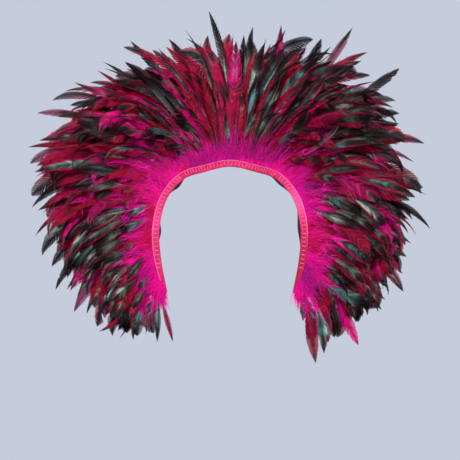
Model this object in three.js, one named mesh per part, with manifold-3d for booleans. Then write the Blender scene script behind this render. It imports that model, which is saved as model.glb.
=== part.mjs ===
// A shoulder cape of dyed rooster feathers. A felt base goes behind the neck, over both shoulders and down
// both fronts, like an upside-down U. Three rows of feathers are sewn to its front face, and a ribbon binds
// the inner edge. Millimetres and degrees, +Z up, the front faces -Y, and left is -X.
// The origin is the middle of the band at the nape.
import * as THREE from "three";
import Module from "manifold-3d";

const wasm = await Module();
wasm.setup();

// Walls, and the gap that is left between pieces sewn face to face.
const FELT_THICK = 2.0;
const TAPE_THICK = 2.0;
const RIBBON_THICK = 1.2;
const RIBBON_RIM = 1.0;
const RIM_WIDTH = 3.5;
const SEWN_GAP = 0.3;

// Distances across the band are measured from the ribbon's inner edge, and its middle line is this far in.
const MIDDLE_LINE = 8;
const FELT_INNER_EDGE = -1;
const FELT_OUTER_EDGE = 72;
// Past this distance the band narrows towards its lower ends, by the stations' column named spread.
const SPREAD_FROM = 20;

// The band's middle line at places from the nape to the lower end of one front. The other side mirrors it.
// across: how far the band's width turns from straight up. lean: how far it leans back.
// ribbon: the ribbon's width. spread: how much of its width the band keeps.
const BAND = [
  { x: 0, y: 0, z: 0, across: 0, lean: 16, ribbon: 16, spread: 1 },
  { x: 54, y: -25, z: -12, across: 18, lean: 14, ribbon: 16, spread: 1 },
  { x: 101, y: -77, z: -31, across: 40, lean: 10, ribbon: 16, spread: 1 },
  { x: 137, y: -114, z: -76, across: 66, lean: 7, ribbon: 16, spread: 1 },
  { x: 152, y: -134, z: -139, across: 86, lean: 6, ribbon: 16, spread: 1 },
  { x: 148, y: -146, z: -205, across: 97, lean: 5, ribbon: 15, spread: 1 },
  { x: 135, y: -150, z: -272, across: 102, lean: 5, ribbon: 7, spread: 0.85 },
];
// The feathers at the same places. turn: how far they turn from straight up. droop: how far one bends over its
// length. left, right: how far the longest row reaches past the middle line on each side.
const FEATHERS = [
  { turn: 0, droop: 0, left: 302, right: 302 },
  { turn: 30, droop: 40, left: 308, right: 322 },
  { turn: 57, droop: 68, left: 332, right: 330 },
  { turn: 90, droop: 66, left: 306, right: 278 },
  { turn: 118, droop: 60, left: 240, right: 236 },
  { turn: 138, droop: 48, left: 202, right: 204 },
  { turn: 170, droop: 10, left: 152, right: 156 },
];
const STATIONS = BAND.map((band, i) => ({ ...band, ...FEATHERS[i] }));
const MIRRORED = ["x", "across", "turn", "droop"];
const LAST = STATIONS.length - 1;
// The ribbon's joints on the shoulders, and half the gap at a joint.
const SEAM = 2;
const SEAM_GAP = 0.003;
const STRIP_STEP = 0.25;
// The first and last feathers of a length stay this far from its ends.
const END_INSET = 0.17;

// seat: where the quills leave the header tape. lift: how far a row stands off the band's face.
// share: of the reach. wide: how wide its feathers are. down: how full the fluff at their feet is.
const ROWS = [
  { name: "front", seat: 16.5, tape: [2, 19], lift: 15, share: 0.68, wide: 1, down: 1 },
  { name: "middle", seat: 41.5, tape: [30, 44], lift: 10.5, share: 0.85, wide: 1.2, down: 0.3 },
  { name: "back", seat: 67.5, tape: [56, 70], lift: 3, share: 1, wide: 1.3, down: 0.15 },
];
// How each row is sewn: feathers in each length, and where the lengths meet, which is staggered between rows.
const SEWING = {
  front: { onNeck: 7, onFront: 14, nape: 0, seam: 2 },
  middle: { onNeck: 7, onFront: 16, nape: 0.25, seam: 1.75 },
  back: { onNeck: 9, onFront: 16, nape: -0.25, seam: 2.25 },
};
// Single feathers that stray past the others: their row and place, and their own turn, bend and reach.
const STRAYS = [
  { row: "front", k: -5.88, turn: -196, bend: 0, reach: 122 },
  { row: "front", k: -5.7, turn: -180, bend: 4, reach: 130 },
  { row: "back", k: -4.2, turn: -129, bend: -67, reach: 259 },
  { row: "back", k: -3.15, turn: -100, bend: -92, reach: 304 },
  { row: "back", k: -2.75, turn: -76, bend: -57, reach: 321 },
  { row: "back", k: -2.45, turn: -65, bend: -68, reach: 345 },
  { row: "back", k: -0.12, turn: -8, bend: -28, reach: 366 },
  { row: "back", k: 1.6, turn: 30, bend: 11, reach: 380 },
  { row: "back", k: 2.2, turn: 47, bend: 22, reach: 356 },
  { row: "back", k: 3.4, turn: 106, bend: 80, reach: 300 },
  { row: "front", k: 5.75, turn: 170, bend: 31, reach: 178 },
  { row: "front", k: 5.88, turn: 172, bend: 14, reach: 115 },
];

// One feather as a lock: its half width, the crown above and belly below its quill, and how far its edges sag.
// The part that is fluff grows with the row's down.
const LOCK = [
  { along: 0, half: 3.5, crown: 0.6, belly: 0.6, sag: 0, fluff: 0 },
  { along: 0.14, half: 8.6, crown: 1.4, belly: 0.9, sag: 0.2, fluff: 5 },
  { along: 0.3, half: 8.2, crown: 1.4, belly: 0.9, sag: 0.6, fluff: 3.5 },
  { along: 0.62, half: 10.5, crown: 1.4, belly: 0.8, sag: 1.6, fluff: 0 },
  { along: 0.86, half: 7, crown: 1.2, belly: 0.7, sag: 1, fluff: 0 },
];
// Only the front row is full enough to need this ring.
const FLUFF_RING = 1;
const TIP_CURL = 10;
const PATH_STEPS = 20;
const SCATTER = { turn: 3, lift: 0.8, reach: 0.09 };

// Where the felt shows past the ribbon: how deep, over which stretch of the stations.
const FELT_SHOWS = [
  { at: -4.1, stretch: 0.35, deep: 3 },
  { at: -2.35, stretch: 0.45, deep: 5 },
  { at: 2.2, stretch: 0.6, deep: 4 },
  { at: 4.0, stretch: 0.7, deep: 4 },
];

const COLOURS = { felt: 0x17181c, ribbon: 0xf0306e, front: 0xd0107a, middle: 0xa00c3c, back: 0x3a1424 };

// A fixed scatter from -1 to 1 for feather number n.
function scatter(n, salt) {
  const wave = Math.sin(n * 12.9898 + salt * 78.233) * 43758.5453;
  return 2 * (wave - Math.floor(wave)) - 1;
}

// The station numbered n, which is negative on the left and goes on evenly past the lower ends.
function station(n) {
  const row = { ...STATIONS[Math.min(Math.abs(n), LAST)] };
  if (Math.abs(n) > LAST)
    for (const column in row) row[column] = 2 * row[column] - STATIONS[LAST - 1][column];
  if (n < 0) for (const column of MIRRORED) row[column] = -row[column];
  row.reach = n < 0 ? row.left : row.right;
  return row;
}

// All columns at place k between the stations, on a smooth curve through them.
function bandAt(k) {
  const first = Math.min(Math.max(Math.floor(k), -LAST), LAST - 1);
  const t = k - first;
  const near = [first - 1, first, first + 1, first + 2].map(station);
  const row = {};
  for (const column in near[0]) {
    const [a, b, c, d] = near.map((s) => s[column]);
    const v0 = (c - a) / 2;
    const v1 = (d - b) / 2;
    const cubic = 2 * b - 2 * c + v0 + v1;
    const square = 3 * c - 3 * b - 2 * v0 - v1;
    row[column] = cubic * t ** 3 + square * t ** 2 + v0 * t + b;
  }
  return row;
}

const pointOf = (row) => new THREE.Vector3(row.x, row.y, row.z);

// The way something points that turns this far from straight up, seen from the front, and leans back.
function pointing(turn, lean) {
  const t = THREE.MathUtils.degToRad(turn);
  const l = THREE.MathUtils.degToRad(lean);
  return new THREE.Vector3(Math.sin(t) * Math.cos(l), Math.sin(l), Math.cos(t) * Math.cos(l));
}

// The band's frame at k: across points outwards over its width, and face points to the front, out of its face.
function frameAt(k) {
  const row = bandAt(k);
  const step = 0.01;
  const along = pointOf(bandAt(k + step)).sub(pointOf(bandAt(k - step))).normalize();
  const across = pointing(row.across, row.lean);
  const face = along.clone().cross(across).normalize();
  const place = (distance, height) => {
    const past = Math.max(distance - SPREAD_FROM, 0);
    const spread = distance - past + past * row.spread;
    return pointOf(row)
      .addScaledVector(across, spread - MIDDLE_LINE)
      .addScaledVector(face, height);
  };
  return { row, face, place };
}

// A closed surface through rings of points, with flat ends or one point at its far end.
// Each ring goes over the face and returns along the back, and both are split along the same diagonals.
function loft(rings, tip) {
  const sides = rings[0].length;
  const points = [...rings.flat(), ...(tip ? [tip] : [])];
  const faces = [];
  const corner = (ring, side) => ring * sides + (side % sides);
  for (let ring = 0; ring + 1 < rings.length; ring++)
    for (let side = 0; side < sides; side++) {
      const [a, b] = [corner(ring, side), corner(ring, side + 1)];
      const [c, d] = [corner(ring + 1, side), corner(ring + 1, side + 1)];
      faces.push(...(side < sides / 2 ? [a, c, d, a, d, b] : [a, c, b, c, d, b]));
    }
  const end = rings.length - 1;
  for (let near = 0; near + 1 < sides / 2; near++) {
    const far = sides - 1 - near;
    faces.push(corner(0, near), corner(0, near + 1), corner(0, far));
    faces.push(corner(0, near + 1), corner(0, far - 1), corner(0, far));
    if (tip) continue;
    faces.push(corner(end, near), corner(end, far), corner(end, near + 1));
    faces.push(corner(end, near + 1), corner(end, far), corner(end, far - 1));
  }
  for (let side = 0; tip && side < sides; side++)
    faces.push(corner(end, side), points.length - 1, corner(end, side + 1));
  return new THREE.BufferGeometry().setFromPoints(points).setIndex(faces);
}

function solidOf(geometry) {
  const vertProperties = new Float32Array(geometry.attributes.position.array);
  const triVerts = new Uint32Array(geometry.index.array);
  return new wasm.Manifold(new wasm.Mesh({ numProp: 3, vertProperties, triVerts }));
}

function geometryOf(solid) {
  const mesh = solid.getMesh();
  const geometry = new THREE.BufferGeometry();
  geometry.setAttribute("position", new THREE.BufferAttribute(mesh.vertProperties, 3));
  geometry.setIndex(new THREE.BufferAttribute(mesh.triVerts, 1));
  geometry.computeVertexNormals();
  return geometry;
}

// A strip along the band from one place to another, with all strips' rings at the same places.
// section(k) lists [distance, low, high] from the inner edge to the outer edge.
function strip(from, to, section) {
  const places = [from];
  for (let i = Math.floor(from / STRIP_STEP) + 1; i * STRIP_STEP < to - SEAM_GAP * 2; i++)
    if (i * STRIP_STEP > from + SEAM_GAP * 2) places.push(i * STRIP_STEP);
  places.push(to);
  return loft(
    places.map((k) => {
      const { place } = frameAt(k);
      const columns = section(k);
      const face = columns.map(([distance, , high]) => place(distance, high));
      const back = columns.map(([distance, low]) => place(distance, low));
      return [...face, ...back.reverse()];
    }),
  );
}

function feltInnerEdge(k) {
  let edge = FELT_INNER_EDGE;
  for (const { at, stretch, deep } of FELT_SHOWS) {
    const off = Math.abs(k - at) / stretch;
    if (off < 1) edge -= deep * 0.5 * (1 + Math.cos(Math.PI * off));
  }
  return edge;
}

// The felt has a line along each edge of the tapes that are sewn to it.
function baseCollar() {
  const lines = [...ROWS[0].tape, ...ROWS[1].tape, ROWS[2].tape[0], FELT_OUTER_EDGE];
  const column = (distance) => [distance, -FELT_THICK, 0];
  return strip(-LAST, LAST, (k) => [feltInnerEdge(k), ...lines].map(column));
}

// The ribbon lies on the front row's tape. Its outer edge is folded into a raised rim.
function ribbon(from, to) {
  const low = SEWN_GAP + TAPE_THICK + SEWN_GAP;
  const high = low + RIBBON_THICK;
  return strip(from, to, (k) => {
    const width = bandAt(k).ribbon;
    const rim = Math.min(RIM_WIDTH, width / 2);
    return [
      [0, low, high],
      [width - rim, low, high],
      [width - rim / 2, low, high + RIBBON_RIM],
      [width, low, high],
    ];
  });
}

// How the feather numbered n grows at place k in a row.
function growth(k, row, n, loose) {
  const band = bandAt(k);
  return {
    k,
    turn: band.turn + loose * SCATTER.turn * scatter(n, 1),
    bend: band.droop,
    lift: row.lift + SCATTER.lift * scatter(n, 2),
    reach: band.reach * row.share * (1 + SCATTER.reach * scatter(n, 3)),
  };
}

// One feather of a row, from its seat in the header tape to its tip. It turns and bends as seen from the front,
// and lifts off the band's face.
function lock(row, { k, turn, bend, lift, reach }) {
  const { face, place } = frameAt(k);
  const length = reach - (row.seat - MIDDLE_LINE);
  const heading = (u) => {
    const way = pointing(turn + bend * (u - 0.5), 0);
    way.y = -(way.x * face.x + way.z * face.z) / face.y;
    way.y += (way.length() * Math.tan(THREE.MathUtils.degToRad(lift - TIP_CURL * u * u))) / face.y;
    return way.normalize();
  };
  const quill = [place(row.seat, SEWN_GAP + TAPE_THICK / 2)];
  for (let i = 0; i < PATH_STEPS; i++) {
    const step = heading((i + 0.5) / PATH_STEPS).multiplyScalar(length / PATH_STEPS);
    quill.push(quill[i].clone().add(step));
  }
  const sections = LOCK.filter((ring, i) => i !== FLUFF_RING || row.down === 1);
  const rings = sections.map(({ along, half, crown, belly, sag, fluff }) => {
    const whole = Math.min(Math.floor(along * PATH_STEPS), PATH_STEPS - 1);
    const middle = quill[whole].clone().lerp(quill[whole + 1], along * PATH_STEPS - whole);
    const way = heading(along);
    const side = way.clone().cross(face).normalize();
    const up = side.clone().cross(way);
    const edge = (sign) =>
      middle.clone().addScaledVector(side, sign * half * row.wide).addScaledVector(up, -sag);
    return [
      edge(1),
      middle.clone().addScaledVector(up, crown + fluff * row.down),
      edge(-1),
      middle.clone().addScaledVector(up, -belly),
    ];
  });
  return loft(rings, quill[PATH_STEPS]);
}

// Places for the feathers of a length, spaced evenly half way out to their tips, because they fan apart.
function spaced(from, to, count) {
  const halfway = (k) => {
    const band = bandAt(k);
    return pointOf(band).addScaledVector(pointing(band.turn, 0), band.reach / 2);
  };
  const samples = 200;
  const places = Array.from({ length: samples + 1 }, (_, i) => THREE.MathUtils.lerp(from, to, i / samples));
  const run = [0];
  for (let i = 1; i <= samples; i++)
    run.push(run[i - 1] + halfway(places[i]).distanceTo(halfway(places[i - 1])));
  return Array.from({ length: count }, (_, n) => {
    const wanted = (run[samples] * n) / (count - 1);
    return places[run.findIndex((length) => length >= wanted - 1e-6)];
  });
}

// A length of feather row: the header tape with its feathers fused to it.
function featherRow(row, { from, to, count }) {
  const tape = () => row.tape.map((distance) => [distance, SEWN_GAP, SEWN_GAP + TAPE_THICK]);
  let solid = solidOf(strip(from + SEAM_GAP, to - SEAM_GAP, tape));
  spaced(from + END_INSET, to - END_INSET, count).forEach((k, i) => {
    const loose = i === 0 || i === count - 1 ? 0 : 1;
    const number = Math.round(k * 100) + row.seat;
    solid = solid.add(solidOf(lock(row, growth(k, row, number, loose))));
  });
  for (const stray of STRAYS)
    if (stray.row === row.name && stray.k > from && stray.k < to)
      solid = solid.add(solidOf(lock(row, { ...stray, lift: row.lift })));
  return geometryOf(solid);
}

const cape = new THREE.Group();

function addPiece(name, geometry, color, roughness) {
  const material = new THREE.MeshStandardMaterial({ color, roughness, metalness: 0 });
  const mesh = new THREE.Mesh(geometry, material);
  mesh.name = name;
  cape.add(mesh);
}

addPiece("base_collar", baseCollar(), COLOURS.felt, 0.95);
addPiece("ribbon_left", ribbon(-LAST, -SEAM - SEAM_GAP), COLOURS.ribbon, 0.45);
addPiece("ribbon_neck", ribbon(-SEAM + SEAM_GAP, SEAM - SEAM_GAP), COLOURS.ribbon, 0.45);
addPiece("ribbon_right", ribbon(SEAM + SEAM_GAP, LAST), COLOURS.ribbon, 0.45);
for (const row of ROWS) {
  const { nape, seam, onNeck, onFront } = SEWING[row.name];
  const lengths = {
    left: { from: -LAST, to: -seam, count: onFront },
    neck_left: { from: -seam, to: nape, count: onNeck },
    neck_right: { from: nape, to: seam, count: onNeck },
    right: { from: seam, to: LAST, count: onFront },
  };
  for (const side in lengths)
    addPiece(`${row.name}_row_${side}`, featherRow(row, lengths[side]), COLOURS[row.name], 0.6);
}

export default cape;
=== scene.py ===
import math

import bpy
import numpy as np
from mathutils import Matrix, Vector


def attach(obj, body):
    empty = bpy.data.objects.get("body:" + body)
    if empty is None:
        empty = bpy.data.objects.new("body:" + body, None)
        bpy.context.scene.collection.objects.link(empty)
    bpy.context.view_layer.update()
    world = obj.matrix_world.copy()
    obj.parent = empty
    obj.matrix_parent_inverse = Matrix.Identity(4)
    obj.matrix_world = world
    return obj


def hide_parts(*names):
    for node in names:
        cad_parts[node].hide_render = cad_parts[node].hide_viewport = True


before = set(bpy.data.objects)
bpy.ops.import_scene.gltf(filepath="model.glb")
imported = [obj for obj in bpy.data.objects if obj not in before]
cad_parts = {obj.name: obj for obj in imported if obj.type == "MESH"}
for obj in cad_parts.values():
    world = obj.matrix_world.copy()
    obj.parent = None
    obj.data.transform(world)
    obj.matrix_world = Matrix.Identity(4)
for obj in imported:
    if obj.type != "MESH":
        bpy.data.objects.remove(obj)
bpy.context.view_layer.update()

mm = 0.001
body = "root"


def dye(red, green, blue):  # a colour as the eye reads it, 0 to 255, for a shader
    def light(part):
        part = part / 255
        return part / 12.92 if part <= 0.04045 else ((part + 0.055) / 1.055) ** 2.4
    return (light(red), light(green), light(blue), 1)


# shader sums

class Flow:  # what comes out of a socket, so that sums on it read as plain sums
    def __init__(self, finish, socket):
        self.finish = finish
        self.socket = socket

    def sum(self, how, first, second):
        return self.finish.node("ShaderNodeMath", {"operation": how}, {0: first, 1: second})

    def __add__(self, other):
        return self.sum("ADD", self, other)

    def __radd__(self, other):
        return self.sum("ADD", other, self)

    def __sub__(self, other):
        return self.sum("SUBTRACT", self, other)

    def __rsub__(self, other):
        return self.sum("SUBTRACT", other, self)

    def __mul__(self, other):
        return self.sum("MULTIPLY", self, other)

    def __rmul__(self, other):
        return self.sum("MULTIPLY", other, self)

    def __pow__(self, other):
        return self.sum("POWER", self, other)


class Finish:  # the nodes of one material, or of the room
    def __init__(self, name, holder=None):
        self.holder = holder or bpy.data.materials.new(name)
        self.holder.use_nodes = True
        self.tree = self.holder.node_tree
        self.tree.nodes.clear()

    def node(self, kind, settings=None, sockets=None, out=0):
        made = self.tree.nodes.new(kind)
        for key, value in (settings or {}).items():
            setattr(made, key, value)
        for key, value in (sockets or {}).items():
            if isinstance(value, Flow):
                self.tree.links.new(value.socket, made.inputs[key])
            else:
                made.inputs[key].default_value = value
        return Flow(self, made.outputs[out]) if made.outputs else None

    def mark(self, name):  # a number kept on the mesh's points
        return self.node("ShaderNodeAttribute", {"attribute_name": name}, out="Fac")

    def ease(self, value, low, high):  # 0 below low, 1 above high
        return self.node(
            "ShaderNodeMapRange",
            {"interpolation_type": "SMOOTHSTEP"},
            {"Value": value, "From Min": low, "From Max": high},
        )

    def mix(self, share, first, second):
        return self.node("ShaderNodeMix", {"data_type": "RGBA"}, {0: share, 6: first, 7: second}, out=2)

    def join(self, x, y, z):
        return self.node("ShaderNodeCombineXYZ", None, {"X": x, "Y": y, "Z": z})

    def noise(self, place, scale, detail=2.0):
        return self.node("ShaderNodeTexNoise", None, {"Vector": place, "Scale": scale, "Detail": detail})

    def objectPlace(self):
        return self.node("ShaderNodeTexCoord", out="Object")

    def bump(self, height, strength, distance):
        sockets = {"Height": height, "Strength": strength, "Distance": distance}
        return self.node("ShaderNodeBump", None, sockets)

    def cover(self, sockets, through=None, share=0.0):
        shader = self.node("ShaderNodeBsdfPrincipled", None, sockets)
        if through:  # light from behind shows through thin feather
            behind = self.node("ShaderNodeBsdfTranslucent", None, {"Color": through})
            shader = self.node("ShaderNodeMixShader", None, {0: share, 1: shader, 2: behind})
        self.node("ShaderNodeOutputMaterial", None, {"Surface": shader})
        return self.holder


# camera, lights and backdrop

stage = {
    "cameraAt": (0, -3.0, -0.143), "lens": 109.2, "sensor": 36, "lightsAimAt": (0, 0, -0.099),
    "backdrop": dye(197, 204, 219), "roomLight": 0.36, "floorBelow": -1.35, "floorRadius": 3.4,
    "floorSides": 96, "floorPaint": (dye(206, 210, 220), dye(216, 220, 228)),
}
softBoxes = {
    "keyLight": {"at": (-1.7, -2.5, 1.5), "size": (1.5, 1.5), "power": 92},
    "fillLight": {"at": (2.1, -2.3, 0.5), "size": (1.3, 1.6), "power": 58},
    "topLight": {"at": (0.2, -0.4, 2.2), "size": (1.6, 1.0), "power": 34},
    "rearLight": {"at": (0.6, 2.6, 1.2), "size": (1.6, 1.4), "power": 44},
}


def inScene(name, data):
    thing = bpy.data.objects.new(name, data)
    bpy.context.scene.collection.objects.link(thing)
    return thing


def setCamera():
    data = bpy.data.cameras.new("camera")
    data.lens = stage["lens"]
    data.sensor_width = stage["sensor"]
    camera = inScene("camera", data)
    camera.location = stage["cameraAt"]
    camera.rotation_euler = (math.pi / 2, 0, 0)
    bpy.context.scene.camera = camera


def hangSoftBox(name, at, size, power):
    data = bpy.data.lights.new(name, "AREA")
    data.shape = "RECTANGLE"
    data.size, data.size_y = size
    data.energy = power
    lamp = inScene(name, data)
    lamp.location = at
    aim = Vector(stage["lightsAimAt"]) - Vector(at)
    lamp.rotation_euler = aim.to_track_quat("-Z", "Y").to_euler()


def paintBackdrop():
    world = bpy.data.worlds.new("backdrop")
    room = Finish("backdrop", world)
    seen = room.node("ShaderNodeBackground", None, {"Color": stage["backdrop"]})
    lit = {"Color": stage["backdrop"], "Strength": stage["roomLight"]}  # gives less light than it shows
    lit = room.node("ShaderNodeBackground", None, lit)
    ray = room.node("ShaderNodeLightPath", out="Is Camera Ray")
    either = room.node("ShaderNodeMixShader", None, {0: ray, 1: lit, 2: seen})
    room.node("ShaderNodeOutputWorld", None, {"Surface": either})
    bpy.context.scene.world = world
    bpy.context.scene.view_settings.view_transform = "Standard"


setCamera()
for name, box in softBoxes.items():
    hangSoftBox(name, **box)
paintBackdrop()
print("camera and lights are up")


# the band that every piece is sewn to, in millimetres and degrees: half of it, from the nape down one front
# across: how far its width turns from straight up; lean: how far it leans back
# ribbon: the ribbon's width; spread: how much of the band's full width there is
# turn, droop: how far the feathers turn from straight up and bend over; left, right: how far they reach
bandColumns = ["x", "y", "z", "across", "lean", "ribbon", "spread", "turn", "droop", "left", "right"]
bandTable = np.array([
    [0, 0, 0, 0, 16, 16, 1, 0, 0, 302, 302],
    [54, -25, -12, 18, 14, 16, 1, 30, 40, 308, 322],
    [101, -77, -31, 40, 10, 16, 1, 57, 68, 332, 330],
    [137, -114, -76, 66, 7, 16, 1, 90, 66, 306, 278],
    [152, -134, -139, 86, 6, 16, 1, 118, 60, 240, 236],
    [148, -146, -205, 97, 5, 15, 1, 138, 48, 202, 204],
    [135, -150, -272, 102, 5, 7, 0.85, 170, 10, 152, 156],
], float)
bandEnd = len(bandTable) - 1
shoulderSeam = 2  # the place, counted in stations, where the ribbon's lengths meet
seamGap = 0.003
middleLine = 8  # from the ribbon's inner edge to the line through the stations
spreadFrom = 20  # the band narrows at its lower ends past this distance


def bothSides():
    right = np.vstack([bandTable, 2 * bandTable[-1] - bandTable[-2]])  # goes on evenly past the lower end
    left = right.copy()
    left[:, [bandColumns.index(name) for name in ("x", "across", "turn", "droop")]] *= -1
    rows = np.vstack([left[:0:-1], right])
    reach = np.append(left[:0:-1, bandColumns.index("left")], right[:, bandColumns.index("right")])
    return np.column_stack([rows, reach])


bandStations = bothSides()


def bandAt(k):  # every column at places k, on a smooth curve through the stations
    first = np.clip(np.floor(k), -bandEnd, bandEnd - 1).astype(int)
    t = (k - first)[..., None]
    a, b, c, d = (bandStations[first + step + bandEnd + 1] for step in (-1, 0, 1, 2))
    go, stop = (c - a) / 2, (d - b) / 2
    row = (2 * b - 2 * c + go + stop) * t**3 + (3 * c - 3 * b - 2 * go - stop) * t**2 + go * t + b
    return {name: row[..., i] for i, name in enumerate([*bandColumns, "reach"])}


def unit(v):
    return v / np.linalg.norm(v, axis=-1, keepdims=True)


def pointing(turn, lean):
    t, l = np.broadcast_arrays(np.radians(turn), np.radians(lean))
    return np.stack([np.sin(t) * np.cos(l), np.sin(l), np.cos(t) * np.cos(l)], -1)


def middleOf(row):
    return np.stack([row["x"], row["y"], row["z"]], -1)


def bandFace(k):  # the way that the band faces
    row = bandAt(k)
    along = middleOf(bandAt(k + 0.01)) - middleOf(bandAt(k - 0.01))
    return unit(np.cross(along, pointing(row["across"], row["lean"])))


def bandPoint(k, distance, height):  # distance from the ribbon's inner edge, height off the band's face
    k, distance, height = np.broadcast_arrays(*(np.asarray(v, float) for v in (k, distance, height)))
    row = bandAt(k)
    past = np.maximum(distance - spreadFrom, 0)
    out = distance - past + past * row["spread"] - middleLine
    across = pointing(row["across"], row["lean"])
    return middleOf(row) + across * out[..., None] + bandFace(k) * height[..., None]


def evenPlaces(start, stop, step):  # places along the band, and how far along each one lies
    fine = np.linspace(start, stop, 2000)
    run = np.append(0, np.cumsum(np.linalg.norm(np.diff(middleOf(bandAt(fine)), axis=0), axis=1)))
    wanted = np.linspace(0, run[-1], max(2, round(run[-1] / step) + 1))
    return np.interp(wanted, run, fine), wanted


def bumpsAlong(k, bumps):  # stretches with more or less of something: place, width and how much
    return sum(high * np.exp(-(((k - at) / wide) ** 2)) for at, wide, high in bumps)


# meshes from arrays

def addPiece(name, points, faces, finishes, worn, marks, bakeMap=None):
    sides = np.concatenate([np.full(len(group), group.shape[1]) for group in faces])
    corners = np.concatenate([group.ravel() for group in faces]).astype(np.int32)
    mesh = bpy.data.meshes.new(name)
    mesh.vertices.add(len(points))
    mesh.vertices.foreach_set("co", (points * mm).astype(np.float32).ravel())
    mesh.loops.add(len(corners))
    mesh.loops.foreach_set("vertex_index", corners)
    mesh.polygons.add(len(sides))
    mesh.polygons.foreach_set("loop_start", np.append(0, np.cumsum(sides)[:-1]).astype(np.int32))
    for finish in finishes:
        mesh.materials.append(finish)
    mesh.polygons.foreach_set("material_index", np.asarray(worn, np.int32))
    mesh.polygons.foreach_set("use_smooth", np.ones(len(sides), bool))
    for key, values in marks.items():
        mesh.attributes.new(key, "FLOAT", "POINT").data.foreach_set("value", values.astype(np.float32))
    if bakeMap is not None:
        layer = mesh.uv_layers.new(name="OFBake")
        layer.data.foreach_set("uv", bakeMap[corners].astype(np.float32).ravel())
    mesh.update(calc_edges=True)
    mesh.validate()
    return inScene(name, mesh)


def sew(piece, node):
    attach(piece, body)
    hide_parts(node)


def closedStrip(rings):  # faces of a strip whose rings of points close on themselves, with flat ends
    count, sides = rings.shape[:2]
    index = np.arange(count * sides).reshape(count, sides)
    turned = np.roll(index, -1, 1)
    quads = np.stack([index[:-1], index[1:], turned[1:], turned[:-1]], -1).reshape(-1, 4)
    return [quads, index[:1], index[-1:, ::-1]]


def bandStrip(k, distance, high, low):  # rings of points round a strip: its face and then its back
    face, back = (bandPoint(k[:, None], distance, level) for level in (high, low))
    return np.concatenate([face, back[:, ::-1]], 1)


# felt base

feltCut = {
    "thick": 2.0, "innerEdge": 1, "outerEdge": 72, "columns": 22, "step": 3.0, "seed": 5,
    "lumps": 0.12, "lumpMost": 0.2, "lumpsBehind": 0.5,
    "curvedCut": 1.15,  # how much longer it is cut, because it curves
    # where it shows past the ribbon: place, stretch and depth
    "shows": [(-4.1, 0.35, 4), (-2.35, 0.45, 6), (2.2, 0.6, 5), (4.0, 0.7, 6)],
    "ground": dye(17, 17, 21), "fibre": dye(52, 51, 58), "rough": 0.95,
}


def feltFinish():
    felt = Finish("blackFelt")
    place = felt.objectPlace()
    fibre = felt.noise(place, 1400, 3)
    clump = felt.noise(place, 160, 3)
    fuzz = fibre * 0.6 + clump * 0.4
    return felt.cover({
        "Base Color": felt.mix(felt.ease(fuzz, 0.42, 0.68), feltCut["ground"], feltCut["fibre"]),
        "Roughness": feltCut["rough"],
        "Normal": felt.bump(fuzz, 0.6, 0.0008),
        "Sheen Weight": 0.15,
    })


def feltInnerEdge(k):
    edge = np.full_like(k, feltCut["innerEdge"])
    for at, stretch, deep in feltCut["shows"]:
        off = np.minimum(np.abs(k - at) / stretch, 1)
        edge -= deep * 0.5 * (1 + np.cos(np.pi * off))
    return edge


def makeFelt():
    k, _ = evenPlaces(-bandEnd, bandEnd, feltCut["step"])
    share = np.linspace(0, 1, feltCut["columns"])
    inner = feltInnerEdge(k)[:, None]
    distance = inner + (feltCut["outerEdge"] - inner) * share
    lumps = feltCut["lumps"] * np.random.default_rng(feltCut["seed"]).standard_normal(distance.shape)
    high, low = np.minimum(lumps, feltCut["lumpMost"]), feltCut["lumpsBehind"] * lumps - feltCut["thick"]
    rings = bandStrip(k, distance, high, low)
    face = rings[:, :feltCut["columns"]]
    cut = np.linalg.norm(np.diff(face, axis=0), axis=2)
    lengths = (cut[:, 1:] + cut[:, :-1]) / 2
    widths = np.linalg.norm(np.diff(face[:-1], axis=1), axis=2)
    area = (lengths * widths).sum() * mm * mm
    groups = closedStrip(rings)
    points = rings.reshape(-1, 3)
    worn = np.zeros(sum(len(group) for group in groups))
    piece = addPiece("feltBase", points, groups, [feltFinish()], worn, {})
    sew(piece, "base_collar")
    wide = np.ptp(distance, axis=1).max() * mm
    long = area / wide * feltCut["curvedCut"]
    print("felt base: wide %.4f m, long %.4f m, area %.5f m2" % (wide, long, area))


# ribbon

ribbonCut = {
    "low": 2.6, "thick": 1.2, "rimHigh": 1.0, "rimWide": 3.5, "rimRound": 0.7, "weave": 1.1,
    "ridgePitch": 8.8, "ridgeHigh": 0.5, "ridgeSharp": 5, "ridgeInset": 1, "ridgeEase": 1.5,
    "columns": 18, "step": 0.95, "endFold": 0.5, "endFoldLong": 5,
    "flatWide": 19,  # with the folded rim laid open
    "ground": dye(208, 16, 98), "deep": dye(160, 2, 54), "pale": dye(226, 84, 150),
    "thread": dye(246, 146, 184),
    "paintedSheenAndDeep": [(-3.8, 0.5, 0.4), (3.2, 0.7, 0.6), (5.2, 0.8, -1.1)],  # place, width, and how pale or deep: the pale stretches are painted satin sheen, the deep one a deeper red
    "stitchFrom": 3.2, "stitchTo": 11.8, "stitchWide": 0.65, "stitchHigh": 0.5,
    "stitchSlant": 0.8, "stitchOff": 0.05,
    "stitchedOver": 13,  # the ribbon's lower ends, narrower than this, have no stitches
}


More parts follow.
